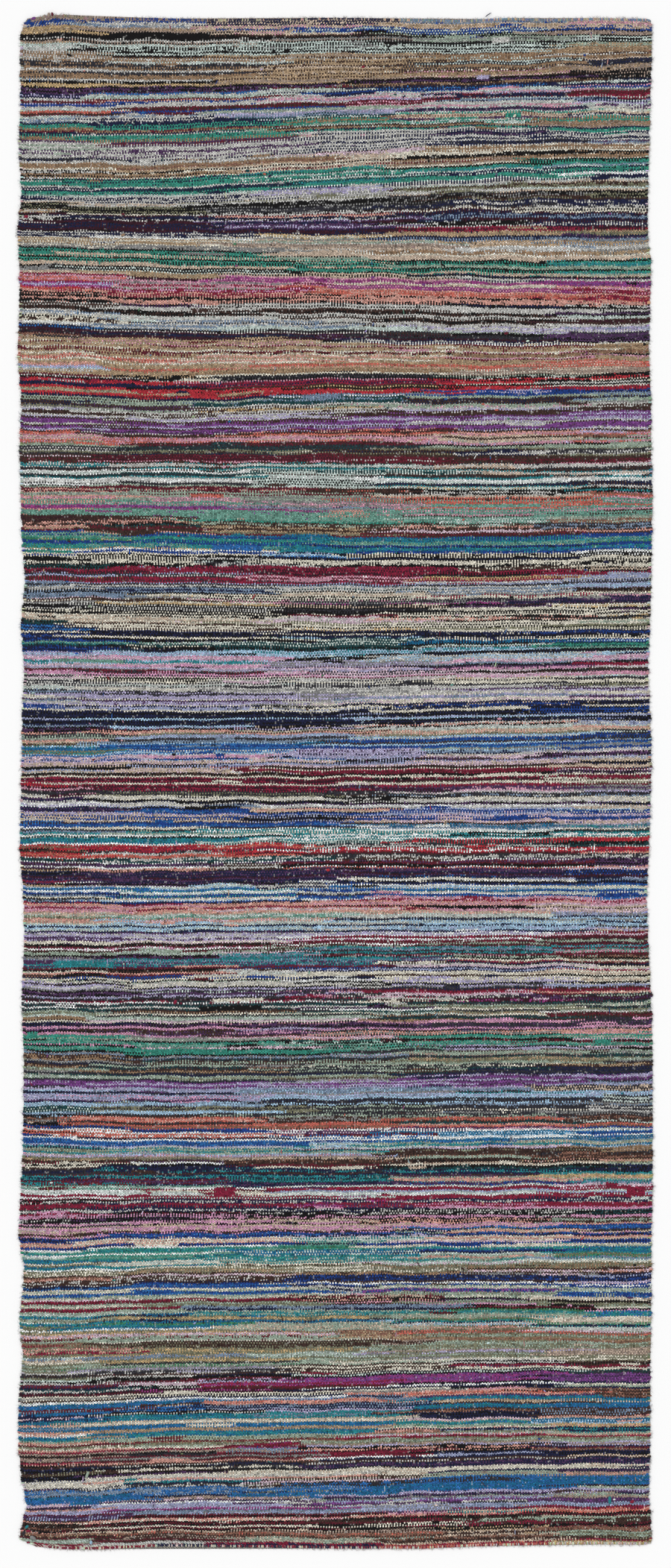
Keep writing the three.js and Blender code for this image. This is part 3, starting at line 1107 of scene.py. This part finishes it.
def face_points(top, along, depth):
    """Across and height of the face's points: wandering, bulging selvedges, rounded
    edges and a soft swell."""
    from_foot = along + LENGTH / 2
    left = -WIDTH / 2 - edge_shift(1, from_foot)
    right = WIDTH / 2 + edge_shift(2, from_foot)
    across = left + (right - left) * top[None, :] / WIDTH
    for side, outward in SIDES:
        bulge = wavers(0 * depth, depth, BULGES)
        across[:, side] += outward * bulge
        across[:, side - outward] += outward * BESIDE_SHARE * bulge
    height = np.full_like(along, FACE_HEIGHT)
    for column, low in enumerate(EDGE_HEIGHTS):
        height[:, [column, -1 - column]] = low
    height = height + wavers(across, along, [SWELL]) * (height > END_HEIGHT + END_RISE)
    rows = np.arange(len(depth))
    ends = np.minimum(rows, rows[::-1])
    return across, np.minimum(height, END_HEIGHT + END_RISE * ends[:, None])


def strip_faces(first, after):
    """Faces between two lines of points, each given as its points' numbers by row."""
    return np.stack([after[:-1], first[:-1], first[1:], after[1:]], axis=-1)


def cloth_faces(over, under):
    """The cloth's faces, from its points' numbers by row and column: the face, the
    underside, the two selvedges and a cap at each end."""
    sheets = [
        np.roll(strip_faces(over[:, :-1], over[:, 1:]), 2, axis=-1),
        strip_faces(under[:, 1:], under[:, :-1]),
        strip_faces(under[:, 0], over[:, 0]),
        strip_faces(over[:, -1], under[:, -1]),
    ]
    faces = [face for sheet in sheets for face in sheet.reshape(-1, 4).tolist()]
    head_cap = [*over[0].tolist(), *under[0, ::-1].tolist()]
    foot_cap = [*over[-1, ::-1].tolist(), *under[-1].tolist()]
    return [*faces, head_cap, foot_cap]


def add_object(name, points, faces, smooth=True):
    """A new object with that mesh, in the scene."""
    mesh = bpy.data.meshes.new(name)
    mesh.from_pydata(points, [], faces)
    if smooth:
        mesh.polygons.foreach_set("use_smooth", np.ones(len(faces), dtype=bool))
    made = bpy.data.objects.new(name, mesh)
    bpy.context.scene.collection.objects.link(made)
    return made


def add_values(mesh, name, kind, domain, key, values):
    """A named value on every point or face."""
    values = np.asarray(values, dtype=np.float32).ravel()
    mesh.attributes.new(name, kind, domain).data.foreach_set(key, values)


def lay_out(mesh, warp, pick, over, under):
    """The flat layout for baking: across by warps, along by picks, with the ends'
    caps as thin strips beside their picks."""
    corners = np.zeros(len(mesh.loops), dtype=np.int32)
    mesh.loops.foreach_get("vertex_index", corners)
    count, cap = len(over) - 1, len(over[0]) + len(under[0])
    uv = np.stack([warp[corners] * WARP / WIDTH, 1 - pick[corners] / count], axis=-1)
    for start, step in ((len(corners) - 2 * cap, -1), (len(corners) - cap, 1)):
        lower = corners[start:start + cap] >= under[0, 0]
        uv[start:start + cap, 1] += step * lower * CAP_PICKS / count
    layer = mesh.uv_layers.new(name="OFBake")
    layer.data.foreach_set("uv", uv.astype(np.float32).ravel())


def build_cloth():
    """The cloth, its face's points across and along, and the yarns of every pick."""
    lines, bands = read_stripes()
    depth, softened = settle(lines)
    top, bottom = columns_of_face(), np.array(UNDER_COLUMNS)
    along = rows_at(top, depth, softened)
    runs = pick_runs(weft_chart(lines, bands, top, along), top, along)
    across, height = face_points(top, along, depth)
    low_along, low_across = (
        np.array([np.interp(bottom, top, row) for row in rows]) for rows in (along, across)
    )
    points = np.concatenate([
        np.stack([across, along, height], axis=-1).reshape(-1, 3),
        np.stack([low_across, low_along, 0 * low_along + UNDERSIDE], axis=-1).reshape(-1, 3),
    ]) + np.array(SHIFT)
    numbers = np.arange(len(points))
    over = numbers[:along.size].reshape(along.shape)
    under = numbers[along.size:].reshape(low_along.shape)
    cloth = add_object("kilim_cloth", points.tolist(), cloth_faces(over, under))

    count = len(runs)
    places = [(*np.indices(grid.shape), line) for grid, line in ((over, top), (under, bottom))]
    pick = np.concatenate([rows.ravel() for rows, _, _ in places]).astype(float)
    warp = np.concatenate([line[columns].ravel() for _, columns, line in places]) / WARP
    add_values(cloth.data, "pick", "FLOAT", "POINT", "value", pick)
    add_values(cloth.data, "warp", "FLOAT", "POINT", "value", warp)
    face, underside = face_yarns(runs, top), face_yarns(runs, bottom)
    blocks = (face, underside, face[:, :1], face[:, -1:])
    for offset, name in YARN_ROWS:
        rows = np.clip(np.arange(count) + offset, 0, count - 1)
        parts = [block[rows].reshape(-1, 3) for block in blocks]
        parts += [face[0, :1], face[-1, :1]]
        add_values(cloth.data, name, "FLOAT_VECTOR", "FACE", "vector", np.concatenate(parts))
    number = [np.repeat(np.arange(count), block.shape[1]) for block in blocks]
    number = np.concatenate([*number, [0, count - 1]])
    add_values(cloth.data, "pick_number", "FLOAT", "FACE", "value", number)
    lay_out(cloth.data, warp, pick, over, under)
    return cloth, across + SHIFT[0], along + SHIFT[1], runs


def colour_of(code):
    """The colour of a coded weft, a little off by chance."""
    yarn = int(code) // CODE_STEP % CODE_STEP
    return [value * draw.uniform(*YARN_SHADE) for value in COLOURS[yarn]]


class Strands:
    """Short lengths of yarn, joined into one mesh. Every point has its yarn's colour."""

    def __init__(self):
        self.points, self.faces, self.tints = [], [], []

    def lay(self, path, wide, thick, tint, sides=STRAND_SIDES, across=None):
        """A strand along path. It is wide in the direction across, thick square to it,
        and thinner at both ends."""
        path = np.array(path, dtype=float)
        start, rings = len(self.points), len(path)
        for place in range(rings):
            ahead = path[min(place + 1, rings - 1)] - path[max(place - 1, 0)]
            ahead = ahead / np.linalg.norm(ahead)
            level = np.cross(UP, ahead) if across is None else np.array(across)
            level = level / max(np.linalg.norm(level), TINY)
            upward = np.cross(ahead, level)
            full = STRAND_TIP if place in (0, rings - 1) else 1.0
            for corner in range(sides):
                turn = 2 * math.pi * corner / sides
                side = wide * math.cos(turn) * level + thick * math.sin(turn) * upward
                self.points.append(path[place] + full * side)
                self.tints.append((*tint, 1))
        corners = range(sides)
        for base in range(start, start + (rings - 1) * sides, sides):
            for corner in corners:
                here, beside = base + corner, base + (corner + 1) % sides
                self.faces.append((here, beside, beside + sides, here + sides))
        self.faces.append([start + corner for corner in reversed(corners)])
        self.faces.append([start + (rings - 1) * sides + corner for corner in corners])

    def make(self, name):
        piece = add_object(name, [tuple(point) for point in self.points], self.faces)
        add_values(piece.data, "tint", "FLOAT_COLOR", "POINT", "color", self.tints)
        return piece


def bent_round(x, y, way, kind):
    """A path from the face, over the edge and back under it. way points outward."""
    bend = (*kind["face"], (-draw.uniform(*kind["out"]), kind["edge"]), *kind["back"])
    return [(x - way[0] * inward, y - way[1] * inward, height) for inward, height in bend]


def selvedge_turns(name, across, along, runs, column, outward):
    """Where every weft turns round the outermost warp: one small loop for two picks."""
    strands = Strands()
    pick = FIRST_TURN
    while pick < len(runs) - FIRST_TURN:
        x = across[pick, column]
        y = along[pick, column] + draw.normal(0, TURN_SLIP)
        path = bent_round(x, y, (outward, 0), TURN)
        path[0] = (path[0][0], y + draw.normal(0, TURN_START_SLIP), path[0][2])
        tint = colour_of(runs[pick][1][column])
        strands.lay(path, draw.uniform(*TURN["wide"]), TURN["thick"], tint, across=(0, 1, 0))
        pick += int(draw.choice(TURN_PICKS))
    return strands.make(name)


def on_end(x_along, across, along, row):
    """The point of that end at a distance from the left selvedge."""
    return (float(np.interp(x_along, TOP_COLUMNS, line[row])) for line in (across, along))


def end_loops(name, across, along, runs, row, outward):
    """The last wefts at one end, pressed round each warp in turn."""
    strands = Strands()
    pick = LOOP_PICKS[row]
    for warp in range(FIRST_LOOP, WARPS - FIRST_LOOP + 1):
        x_along = (warp + 0.5) * WARP
        x, y = on_end(x_along, across, along, row)
        path = bent_round(x + draw.normal(0, LOOP_SLIP), y, (0, outward), LOOP)
        zone = int(np.searchsorted(runs[pick][0], x_along))
        code = runs[pick + int(draw.integers(-1, 2))][1][min(zone, len(ZONE_SPANS))]
        wide = draw.uniform(*LOOP["wide"])
        strands.lay(path, wide, LOOP["thick"], colour_of(code), across=(1, 0, 0))
    return strands.make(name)


def hair_path(x, y, way, roots, lengths):
    """One fibre that stands out from the cloth's edge. way points outward."""
    start = np.array([x, y, draw.uniform(*roots)])
    reach, slope = draw.uniform(*lengths), draw.normal(0, HAIR_SLOPE)
    out, aside = np.array([*way, 0]), np.array([abs(way[1]), abs(way[0]), 0])
    bend_out, bend_aside, rise = HAIR_BEND
    middle = start + out * reach * bend_out + aside * (slope * reach * bend_aside) + UP * rise
    end = start + out * reach + aside * (slope * reach) + UP * draw.uniform(*HAIR_TIP)
    return [start - out * HAIR_ROOT, middle, end]


def edge_fuzz(name, across, along, runs):
    """Short fibres that stand out round the cloth."""
    strands = Strands()
    for _ in range(HAIRS):
        pick = int(draw.integers(CORNER_PICKS, len(runs) - CORNER_PICKS))
        column, outward = SIDES[int(draw.integers(0, 2))]
        x, y = across[pick, column], along[pick, column]
        path = hair_path(x, y, (outward, 0), *SIDE_HAIR)
        share, pale = HAIR_PALE
        tint = [share * part + pale for part in colour_of(runs[pick][1][column])]
        strands.lay(path, HAIR_THICK, HAIR_THICK, tint, HAIR_SIDES)
    for _ in range(HAIRS // 2):
        row, outward = ENDS[int(draw.integers(0, 2))]
        x, y = on_end(draw.uniform(CORNER, WIDTH - CORNER), across, along, row)
        path = hair_path(x, y, (0, outward), *END_HAIR)
        grey = draw.uniform(*HAIR_GREY)
        tint = [grey * share for share in HAIR_TINT]
        strands.lay(path, HAIR_THICK, HAIR_THICK, tint, HAIR_SIDES)
    return strands.make(name)


def lay_end(strands, x, y, long, wide, turn, tint):
    """One knot or yarn end on the face: a short bent length, pressed flat."""
    bend = draw.normal(0, END_BEND) * long
    turn = math.radians(turn)
    way = np.array([math.cos(turn), math.sin(turn), 0])
    aside = np.array([-math.sin(turn), math.cos(turn), 0])
    path = [
        np.array([x, y, END_LEVEL]) + way * part * long + aside * bend * (0.25 - part * part)
        + UP * (END_ARCH * math.cos(math.pi * part))
        for part in np.linspace(-0.5, 0.5, END_POINTS)
    ]
    strands.lay(path, wide / 2, min(wide / 2, END_THICK), tint)


def face_ends(name):
    """The knots and loose ends that show on the face: the table's and the stray ones."""
    strands = Strands()
    for column, row, long, wide, turn, yarn in KNOTS:
        x, y = photo_across(column) + SHIFT[0], photo_along(row) + SHIFT[1]
        lay_end(strands, x, y, long / MM, wide / MM, turn, COLOURS[YARN_NUMBER[yarn]])
    for number in range(STRAY_ENDS + STRAY_KNOTS):
        x, y = (draw.uniform(-reach, reach) for reach in STRAY_REACH)
        tint = colour_of(int(draw.integers(0, len(YARNS))) * CODE_STEP)
        if number < STRAY_ENDS:
            turn, long, wide = draw.normal(*END_TURN), draw.uniform(*END_LONG), END_WIDE
        else:
            turn, long = draw.normal(*KNOT_TURN), draw.uniform(*KNOT_LONG)
            wide = draw.uniform(*KNOT_WIDE)
        lay_end(strands, x, y, long, wide, turn, tint)
    return strands.make(name)


class Graph:
    """Short calls for building a material's nodes."""

    def __init__(self, name):
        self.material = bpy.data.materials.new(name)
        self.material.use_nodes = True
        self.tree = self.material.node_tree
        self.shader = self.tree.nodes["Principled BSDF"]

    def put(self, socket, value):
        if isinstance(value, bpy.types.NodeSocket):
            self.tree.links.new(value, socket)
        else:
            socket.default_value = value

    def new(self, kind, inputs, **settings):
        made = self.tree.nodes.new(kind)
        for name, value in settings.items():
            setattr(made, name, value)
        for place, value in inputs:
            self.put(made.inputs[place], value)
        return made

    def math(self, operation, *values):
        return self.new("ShaderNodeMath", enumerate(values), operation=operation).outputs[0]

    def times(self, first, second):
        return self.math("MULTIPLY", first, second)

    def floor(self, value, size=1.0):
        """The number of the step of that size in which value lies."""
        return self.math("FLOOR", self.math("DIVIDE", value, size))

    def spread(self, value, limits):
        """value, from 0 to 1, spread between two limits."""
        low, high = limits
        return self.math("MULTIPLY_ADD", value, high - low, low)

    def attribute(self, name):
        return self.new("ShaderNodeAttribute", (), attribute_name=name).outputs

    def split(self, vector):
        return self.new("ShaderNodeSeparateXYZ", [(0, vector)]).outputs

    def join(self, *values):
        return self.new("ShaderNodeCombineXYZ", enumerate(values)).outputs[0]

    def mix(self, kind, factor, first, second, way="MIX"):
        """first where factor is 0, second where it is 1."""
        output = MIX_KINDS.index(kind)
        place = 2 + 2 * output
        inputs = ((0, factor), (place, first), (place + 1, second))
        made = self.new("ShaderNodeMix", inputs, data_type=kind, blend_type=way)
        return made.outputs[output]

    def shade(self, colour, tone):
        return self.mix("RGBA", 1.0, colour, self.join(tone, tone, tone), "MULTIPLY")

    def at(self, warp, pick, pattern):
        """A place in a pattern of that size."""
        across, along, apart = pattern
        return self.join(self.times(warp, across), self.times(pick, along), apart)

    def noise(self, vector, detail=2.0, rough=0.5, scale=1.0):
        names = ("Vector", "Scale", "Detail", "Roughness")
        values = (vector, scale, detail, rough)
        return self.new("ShaderNodeTexNoise", zip(names, values)).outputs[0]

    def chance(self, *cell):
        """A random number from 0 to 1 for every cell."""
        inputs = [("Vector", self.join(*cell))]
        made = self.new("ShaderNodeTexWhiteNoise", inputs, noise_dimensions="3D")
        return made.outputs["Value"]

    def palette(self, number, colours):
        """The colour with that number: a lookup in a ramp of hard steps."""
        place = self.math("DIVIDE", self.math("ADD", number, 0.5), RAMP_STEPS)
        made = self.new("ShaderNodeValToRGB", [(0, place)])
        ramp = made.color_ramp
        ramp.interpolation = "CONSTANT"
        while len(ramp.elements) < len(colours):
            ramp.elements.new(0.5)
        for step, element in enumerate(ramp.elements):
            element.position = max((step - 0.5) / RAMP_STEPS, 0)
        for element, colour in zip(ramp.elements, colours):
            element.color = (*colour, 1)
        return made.outputs[0]

    def finish(self, colour, height, fibre, relief, rough):
        """The matt, faintly downy surface of yarn."""
        inputs = zip(("Strength", "Distance", "Height"), (*relief, height))
        surface = {
            "Base Color": colour, "Normal": self.new("ShaderNodeBump", inputs).outputs[0],
            "Roughness": self.spread(fibre, rough), "Specular IOR Level": SPECULAR,
            "Sheen Weight": SHEEN, "Sheen Roughness": SHEEN_ROUGH,
        }
        for name, value in surface.items():
            self.put(self.shader.inputs[name], value)
        return self.material


def wefts_seen(graph, warp, pick, column):
    """The weft that shows at each place, and how far up its bead the place is. Every
    weft shows on every second warp, and the beads ride up and down a little."""
    odd = graph.math("FLOORED_MODULO", column, 2)
    lift = graph.spread(graph.noise(graph.at(warp, pick, RIDE_PATTERN), *FINE), RIDE)
    for warps, apart in JUMP_CELLS:
        jump = graph.chance(graph.floor(column, warps), graph.floor(pick, 2), apart)
        jump = graph.math("SUBTRACT", jump, 0.5)
        jump = graph.times(jump, graph.math("ABSOLUTE", jump))
        lift = graph.math("MULTIPLY_ADD", jump, JUMP, lift)
    lift = graph.math("MAXIMUM", graph.math("MINIMUM", lift, RIDE_MOST), -RIDE_MOST)
    risen = graph.math("ADD", pick, lift)
    pair = graph.floor(graph.math("SUBTRACT", risen, odd), 2)
    seen = graph.math("MULTIPLY_ADD", pair, 2.0, odd)
    return seen, graph.times(graph.math("SUBTRACT", risen, seen), 0.5)


def yarn_seen(graph, warp, seen):
    """The number of the yarn that shows: the weft's own or its partner."""
    step = graph.math("SUBTRACT", seen, graph.attribute("pick_number")[2])
    yarns = graph.attribute(YARN_ROWS[0][1])[1]
    for offset, name in YARN_ROWS[1:]:
        later = graph.math("GREATER_THAN", step, offset - 0.5)
        yarns = graph.mix("VECTOR", later, yarns, graph.attribute(name)[1])
    left, right, change = graph.split(yarns)
    before = graph.math("LESS_THAN", warp, change)
    code = graph.math("ROUND", graph.mix("FLOAT", before, right, left))
    both = graph.floor(code, CODE_STEP)
    partner = graph.math("FLOORED_MODULO", code, CODE_STEP)
    mingled = graph.math("GREATER_THAN", both, CODE_STEP - 0.5)
    yarn = graph.math("FLOORED_MODULO", both, CODE_STEP)
    turn = graph.noise(graph.at(warp, seen, PARTNER_PATTERN), *SMOOTH)
    bound = graph.spread(graph.chance(seen, *OWN_CELLS), OWN_SHARE)
    bound = graph.math("ADD", bound, graph.times(mingled, MINGLED_LESS))
    return graph.mix("FLOAT", graph.math("GREATER_THAN", turn, bound), yarn, partner)


def yarn_colour(graph, yarn):
    """The colour of that yarn, from two ramps."""
    low = graph.palette(yarn, COLOURS[:RAMP_MOST])
    high = graph.palette(graph.math("SUBTRACT", yarn, RAMP_MOST), COLOURS[RAMP_MOST:])
    return graph.mix("RGBA", graph.math("GREATER_THAN", yarn, RAMP_MOST - 0.5), low, high)


def tone_and_painted_shade(graph, warp, pick, column, seen, bead):
    """How light each place is, against its yarn's colour: tone at random and slowly over the
    cloth, painted shade on hidden beads and at each bead's rim, and painted light on its top.
    """
    # Painted shade: a few hidden beads at half tone.
    hidden_shade = graph.math("LESS_THAN", graph.chance(column, seen, HIDDEN_BEAD_CELLS), HIDDEN_BEAD_SHARE)
    tone = graph.spread(graph.noise(graph.at(warp, seen, STREAK_PATTERN), *RAGGED), STREAKS)
    for value, limits in (
        (graph.chance(column, seen, BEAD_CELLS), EACH_BEAD),
        (graph.chance(graph.floor(column, 3), seen, THREE_CELLS), THREE_BEADS),
        (hidden_shade, HIDDEN_BEAD_SHADE),
        (graph.noise(graph.at(warp, pick, SLOW_PATTERN)), SLOW_SHADE),
        # painted shade at each bead's rim, painted light on its top
        (bead, BEAD_RIM_SHADE),
    ):
        tone = graph.times(tone, graph.spread(value, limits))
    return tone


def weave_material():
    """Beads of yarn, in colour and relief, where wefts pass over warps. Their rims and the
    hidden ones are darkened with painted shade, and their tops lightened with painted light.
    """
    graph = Graph("weave")
    warp, pick = graph.attribute("warp")[2], graph.attribute("pick")[2]
    column = graph.math("FLOOR", warp)
    seen, up = wefts_seen(graph, warp, pick, column)
    aside = graph.math("FRACT", warp)
    arches = [graph.math("SINE", graph.times(value, math.pi)) for value in (aside, up)]
    # The bead's roundness: its relief, and the painted shade at its rim.
    bead = graph.math("POWER", graph.math("MAXIMUM", graph.times(*arches), 0.0), BEAD_POWER)
    colour = yarn_colour(graph, yarn_seen(graph, warp, seen))
    fleck = graph.math("GREATER_THAN", graph.chance(column, seen, FLECK_CELLS), FLECK_ABOVE)
    colour = graph.mix("RGBA", graph.times(fleck, FLECK_STRENGTH), colour, (*linear(FLECK), 1))
    # Painted shade at each bead's rim and on hidden beads, painted light on its top, with tone at
    # random.
    colour = graph.shade(colour, tone_and_painted_shade(graph, warp, pick, column, seen, bead))
    fibre = graph.noise(graph.at(warp, pick, FIBRE_PATTERN))
    height = graph.math("MULTIPLY_ADD", fibre, FIBRE_HEIGHT, bead)
    return graph.finish(colour, height, fibre, WEAVE_RELIEF, WEAVE_ROUGH)


def strand_material():
    """Loose yarn, each length in its own colour."""
    graph = Graph("loose_yarn")
    where = graph.new("ShaderNodeTexCoord", ()).outputs["Object"]
    fibre = graph.noise(where, *FINE, scale=FIBRE_SCALE)
    slub = graph.noise(where, *SMOOTH, scale=SLUB_SCALE)
    tone = graph.times(graph.spread(fibre, STRAND_SHADE), graph.spread(slub, STRAND_SHADE))
    colour = graph.shade(graph.attribute("tint")[0], tone)
    return graph.finish(colour, fibre, fibre, STRAND_RELIEF, STRAND_ROUGH)


def build_floor():
    corners = [(x * FLOOR_HALF, y * FLOOR_HALF, FLOOR_HEIGHT) for x, y in FLOOR_CORNERS]
    floor = add_object("studio_floor", corners, [(0, 1, 2, 3)], smooth=False)
    graph = Graph("pale_floor")
    graph.shader.inputs["Base Color"].default_value = FLOOR_COLOUR
    graph.shader.inputs["Roughness"].default_value = FLOOR_ROUGH
    graph.shader.inputs["Specular IOR Level"].default_value = FLOOR_SPECULAR
    floor.data.materials.append(graph.material)
    return floor


def light_studio():
    scene = bpy.context.scene
    world = bpy.data.worlds.new("studio")
    world.use_nodes = True
    sky = world.node_tree.nodes["Background"].inputs
    sky[0].default_value, sky[1].default_value = WHITE, SKY_STRENGTH
    scene.world = world
    lamp = bpy.data.lights.new("soft_key", "SUN")
    lamp.energy = KEY_STRENGTH
    lamp.angle = math.radians(KEY_SOFTNESS)
    key = bpy.data.objects.new("soft_key", lamp)
    key.rotation_euler = [math.radians(turn) for turn in KEY_TURN]
    scene.collection.objects.link(key)
    scene.view_settings.view_transform = "Standard"


def place_camera():
    """Straight above, with the photograph's frame."""
    scene = bpy.context.scene
    data = bpy.data.cameras.new("camera")
    data.type = "ORTHO"
    data.sensor_fit = "VERTICAL"
    data.ortho_scale = PHOTO_SIZE[1] * PIXEL
    data.clip_end = CAMERA_REACH
    camera = bpy.data.objects.new("camera", data)
    across, along = photo_across(PHOTO_SIZE[0] / 2), photo_along(PHOTO_SIZE[1] / 2)
    camera.location = (across + SHIFT[0], along + SHIFT[1], CAMERA_HEIGHT)
    scene.collection.objects.link(camera)
    scene.camera = camera


COLOURS = [linear(code) for code in YARNS.values()]
TOP_COLUMNS = columns_of_face()

cloth, across, along, runs = build_cloth()
cloth.data.materials.append(weave_material())
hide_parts("woven_runner")
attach(cloth, "root")
loose = [
    selvedge_turns("turns_left", across, along, runs, *SIDES[0]),
    selvedge_turns("turns_right", across, along, runs, *SIDES[1]),
    end_loops("loops_head", across, along, runs, *ENDS[0]),
    end_loops("loops_foot", across, along, runs, *ENDS[1]),
    edge_fuzz("edge_fuzz", across, along, runs),
    face_ends("yarn_ends"),
]
loose_yarn = strand_material()
for piece in loose:
    piece.data.materials.append(loose_yarn)
    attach(piece, "root")
floor = build_floor()
light_studio()
place_camera()
